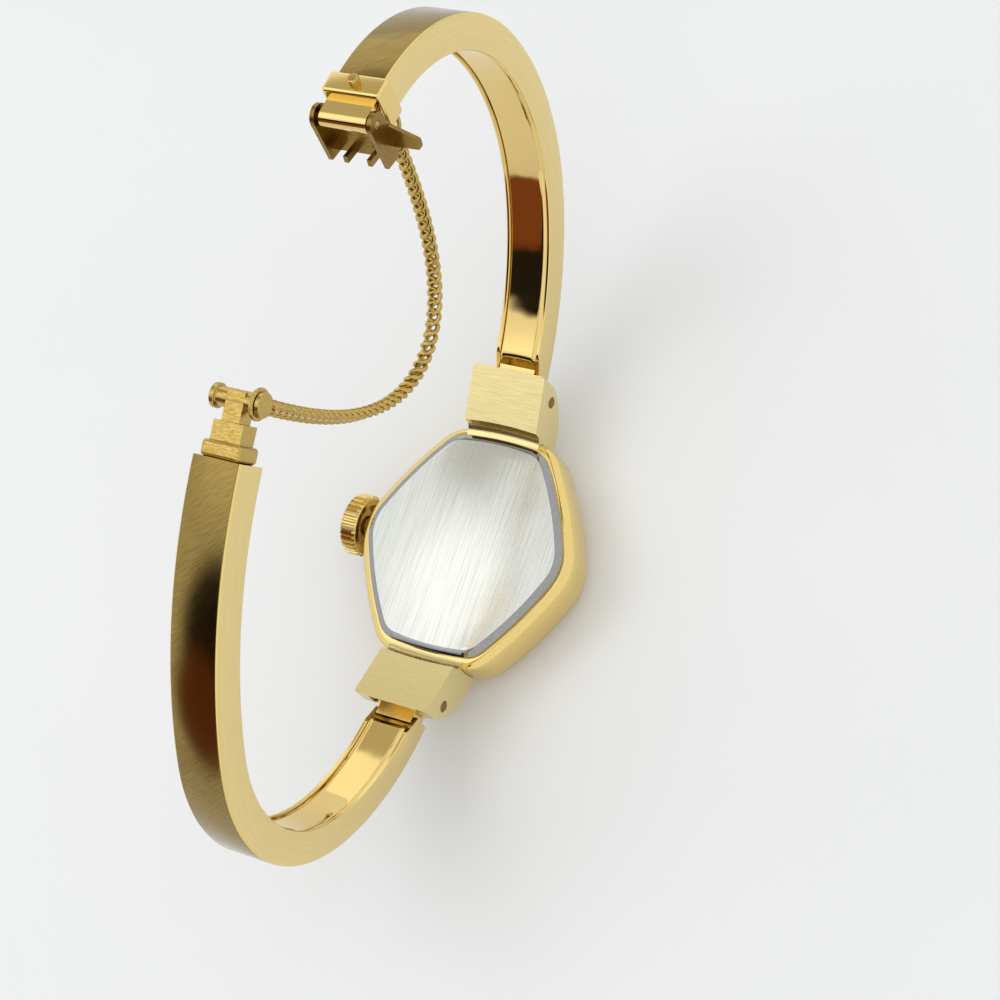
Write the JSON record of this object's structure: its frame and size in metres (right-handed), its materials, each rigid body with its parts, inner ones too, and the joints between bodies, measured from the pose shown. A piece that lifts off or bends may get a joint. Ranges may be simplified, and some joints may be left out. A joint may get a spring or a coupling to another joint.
{
  "type": "bangle watch",
  "caption": "Rigid bangle wristwatch with a six-sided case, hinged tubular half-bangles, a snap lever clasp, a fluted crown and a safety chain.",
  "frame": {"origin": "centre of the watch's face, in the plane of the bezel lip that it lies on", "axes": "+Z from the face through the case back towards the wrist, +Y towards 12 o'clock, -X towards the crown"},
  "size_m": [0.0221, 0.0654, 0.0467],
  "materials": {
    "gold_brushed": "brushed",
    "gold_satin": "satin",
    "gold_polished": "polished",
    "crown_gold": "polished",
    "back_steel": "brushed",
    "crystal": "clear",
    "seal": "matte",
    "dial_silver": "satin",
    "movement_nickel": "satin",
    "movement_brass": "satin",
    "movement_steel": "polished",
    "spring_steel": "satin",
    "ruby": "clear"
  },
  "bodies": {
    "case": {"bezel": "gold_polished", "crystal": "crystal", "gaskets": "seal", "case_middle": "gold_polished", "case_back": "back_steel", "upper_hinge_block": "gold_brushed", "lower_hinge_block": "gold_brushed", "hinge_pins": "gold_satin", "crown_tube": "movement_steel", "movement_ring": "movement_nickel", "main_plate": "movement_nickel", "barrel_bridge": "movement_nickel", "train_bridge": "movement_nickel", "balance_cock": "movement_nickel", "pallet_cock": "movement_nickel", "jewels": "ruby", "bridge_screws": "movement_steel", "click": "movement_steel", "dial": "dial_silver", "hour_markers": "gold_polished", "hairspring": "spring_steel"},
    "upper_arm": {"upper_arm_shell": "gold_brushed", "upper_arm_liner": "gold_polished", "upper_hinge_knuckle": "gold_satin", "clasp_housing": "gold_polished", "clasp_pins": "gold_polished"},
    "lower_arm": {"lower_arm_shell": "gold_brushed", "lower_arm_liner": "gold_polished", "lower_hinge_knuckle": "gold_satin", "catch_neck": "gold_polished", "catch_bar": "gold_polished"},
    "lever": {"clasp_lever": "gold_polished"},
    "winding_gears": {"winding_pinions": "movement_steel"},
    "crown": {"crown": "crown_gold", "winding_stem": "movement_steel"},
    "crown_wheel": {"crown_wheel": "movement_steel"},
    "ratchet": {"ratchet_wheel": "movement_steel", "barrel_arbor": "movement_steel"},
    "barrel": {"barrel_drum": "movement_brass", "mainspring": "spring_steel"},
    "centre_wheel": {"centre_wheel": "movement_brass"},
    "third_wheel": {"third_wheel": "movement_brass"},
    "fourth_wheel": {"fourth_wheel": "movement_brass"},
    "escape_wheel": {"escape_wheel": "movement_steel"},
    "pallet_fork": {"pallet_fork": "movement_steel"},
    "balance": {"balance_wheel": "movement_brass"},
    "minute_hand": {"minute_hand": "gold_polished", "cannon_pinion": "movement_steel"},
    "minute_wheel": {"minute_wheel": "movement_brass"},
    "hour_hand": {"hour_hand": "gold_polished", "hour_wheel": "movement_brass"},
    "upper_chain_1": {"upper_chain_1": "gold_satin"},
    "upper_chain_2": {"upper_chain_2": "gold_satin"},
    "upper_chain_3": {"upper_chain_3": "gold_satin"},
    "upper_chain_4": {"upper_chain_4": "gold_satin"},
    "lower_chain_1": {"lower_chain_1": "gold_satin"},
    "lower_chain_2": {"lower_chain_2": "gold_satin"},
    "lower_chain_3": {"lower_chain_3": "gold_satin"},
    "lower_chain_4": {"lower_chain_4": "gold_satin"}
  },
  "joints": [
    {"name": "upper_arm_hinge", "type": "hinge", "parent": "case", "child": "upper_arm", "pos_m": [0, 0.01375, 0.00635], "axis": [1, 0, 0], "range_deg": [-8, 23]},
    {"name": "lower_arm_hinge", "type": "hinge", "parent": "case", "child": "lower_arm", "pos_m": [0, -0.01375, 0.00635], "axis": [-1, 0, 0], "range_deg": [-5, 5.3]},
    {"name": "clasp_lever_hinge", "type": "hinge", "parent": "upper_arm", "child": "lever", "pos_m": [0, 0.0189, 0.0452], "axis": [-1, 0, 0], "range_deg": [0, 80]},
    {"name": "crown_turn", "type": "hinge", "parent": "case", "child": "winding_gears", "pos_m": [-0.008, 0, 0.00372], "axis": [1, 0, 0], "continuous": true},
    {"name": "crown_pull", "type": "slide", "parent": "winding_gears", "child": "crown", "axis": [-1, 0, 0], "range_m": [0, 0.0006]},
    {"name": "crown_wheel_turn", "type": "hinge", "parent": "case", "child": "crown_wheel", "pos_m": [-0.00495, 0.00015, 0.0051], "axis": [0, 0, 1], "continuous": true},
    {"name": "ratchet_turn", "type": "hinge", "parent": "case", "child": "ratchet", "pos_m": [-0.00192, 0.00274, 0.0051], "axis": [0, 0, 1], "continuous": true},
    {"name": "fourth_wheel_turn", "type": "hinge", "parent": "case", "child": "fourth_wheel", "pos_m": [0.00304, -0.00166, 0.004], "axis": [0, 0, 1], "continuous": true},
    {"name": "third_wheel_turn", "type": "hinge", "parent": "case", "child": "third_wheel", "pos_m": [0.00248, 0.00044, 0.004], "axis": [0, 0, 1], "continuous": true},
    {"name": "centre_wheel_turn", "type": "hinge", "parent": "case", "child": "centre_wheel", "pos_m": [0, 0, 0.004], "axis": [0, 0, 1], "continuous": true},
    {"name": "barrel_turn", "type": "hinge", "parent": "case", "child": "barrel", "pos_m": [-0.00192, 0.00274, 0.004], "axis": [0, 0, 1], "continuous": true},
    {"name": "escape_wheel_turn", "type": "hinge", "parent": "case", "child": "escape_wheel", "pos_m": [0.00132, -0.00266, 0.004], "axis": [0, 0, 1], "continuous": true},
    {"name": "balance_swing", "type": "hinge", "parent": "case", "child": "balance", "pos_m": [-0.00178, -0.00342, 0.004], "axis": [0, 0, 1], "range_deg": [-135, 135], "stiffness_Nm_per_rad": 0.000000015},
    {"name": "pallet_fork_swing", "type": "hinge", "parent": "case", "child": "pallet_fork", "pos_m": [0.00079, -0.00379, 0.004], "axis": [0, 0, 1], "range_deg": [-5, 5]},
    {"name": "minute_hand_turn", "type": "hinge", "parent": "case", "child": "minute_hand", "pos_m": [0, 0, 0.0015], "axis": [0, 0, 1], "continuous": true},
    {"name": "minute_wheel_turn", "type": "hinge", "parent": "case", "child": "minute_wheel", "pos_m": [-0.00122, -0.00045, 0.0026], "axis": [0, 0, 1], "continuous": true},
    {"name": "hour_hand_turn", "type": "hinge", "parent": "case", "child": "hour_hand", "pos_m": [0, 0, 0.0017], "axis": [0, 0, 1], "continuous": true},
    {"name": "upper_chain_1_bend", "type": "hinge", "parent": "upper_arm", "child": "upper_chain_1", "pos_m": [0.00147, 0.02054, 0.04251], "axis": [1, 0, 0], "range_deg": [-13.5, 38.7]},
    {"name": "upper_chain_2_bend", "type": "hinge", "parent": "upper_chain_1", "child": "upper_chain_2", "pos_m": [0.00147, 0.01844, 0.0358], "axis": [1, 0, 0], "range_deg": [-8.1, 2.9]},
    {"name": "upper_chain_3_bend", "type": "hinge", "parent": "upper_chain_2", "child": "upper_chain_3", "pos_m": [0.00147, 0.0162, 0.03111], "axis": [1, 0, 0], "range_deg": [-21.5, 7.6]},
    {"name": "upper_chain_4_bend", "type": "hinge", "parent": "upper_chain_3", "child": "upper_chain_4", "pos_m": [0.00147, 0.01278, 0.02724], "axis": [1, 0, 0], "range_deg": [-37.4, 13.1]},
    {"name": "lower_chain_1_bend", "type": "hinge", "parent": "lower_arm", "child": "lower_chain_1", "pos_m": [0.00147, -0.00261, 0.04487], "axis": [-1, 0, 0], "range_deg": [-11.9, 12.6]},
    {"name": "lower_chain_2_bend", "type": "hinge", "parent": "lower_chain_1", "child": "lower_chain_2", "pos_m": [0.00147, -0.00089, 0.03849], "axis": [-1, 0, 0], "range_deg": [-6.1, 5.8]},
    {"name": "lower_chain_3_bend", "type": "hinge", "parent": "lower_chain_2", "child": "lower_chain_3", "pos_m": [0.00147, 0.00097, 0.03363], "axis": [-1, 0, 0], "range_deg": [-10.1, 9.5]},
    {"name": "lower_chain_4_bend", "type": "hinge", "parent": "lower_chain_3", "child": "lower_chain_4", "pos_m": [0.00147, 0.00365, 0.02919], "axis": [-1, 0, 0], "range_deg": [-9.9, 9.3]}
  ],
  "couplings": [
    {"joint": "crown_wheel_turn", "follows": "crown_turn", "ratio": 0.5},
    {"joint": "ratchet_turn", "follows": "crown_turn", "ratio": -0.2},
    {"joint": "third_wheel_turn", "follows": "fourth_wheel_turn", "ratio": -0.13333},
    {"joint": "centre_wheel_turn", "follows": "fourth_wheel_turn", "ratio": 0.016667},
    {"joint": "barrel_turn", "follows": "fourth_wheel_turn", "ratio": -0.0027778},
    {"joint": "escape_wheel_turn", "follows": "fourth_wheel_turn", "ratio": -10},
    {"joint": "pallet_fork_swing", "follows": "balance_swing", "ratio": 0.037},
    {"joint": "minute_wheel_turn", "follows": "minute_hand_turn", "ratio": -0.33333},
    {"joint": "hour_hand_turn", "follows": "minute_hand_turn", "ratio": 0.083333},
    {"joint": "upper_chain_1_bend", "follows": "upper_arm_hinge", "ratio": 1.675},
    {"joint": "upper_chain_2_bend", "follows": "upper_arm_hinge", "ratio": -0.345},
    {"joint": "upper_chain_3_bend", "follows": "upper_arm_hinge", "ratio": -0.927},
    {"joint": "upper_chain_4_bend", "follows": "upper_arm_hinge", "ratio": -1.62},
    {"joint": "lower_chain_1_bend", "follows": "lower_arm_hinge", "ratio": 2.351},
    {"joint": "lower_chain_2_bend", "follows": "lower_arm_hinge", "ratio": -1.123},
    {"joint": "lower_chain_3_bend", "follows": "lower_arm_hinge", "ratio": -1.877},
    {"joint": "lower_chain_4_bend", "follows": "lower_arm_hinge", "ratio": -1.832}
  ]
}
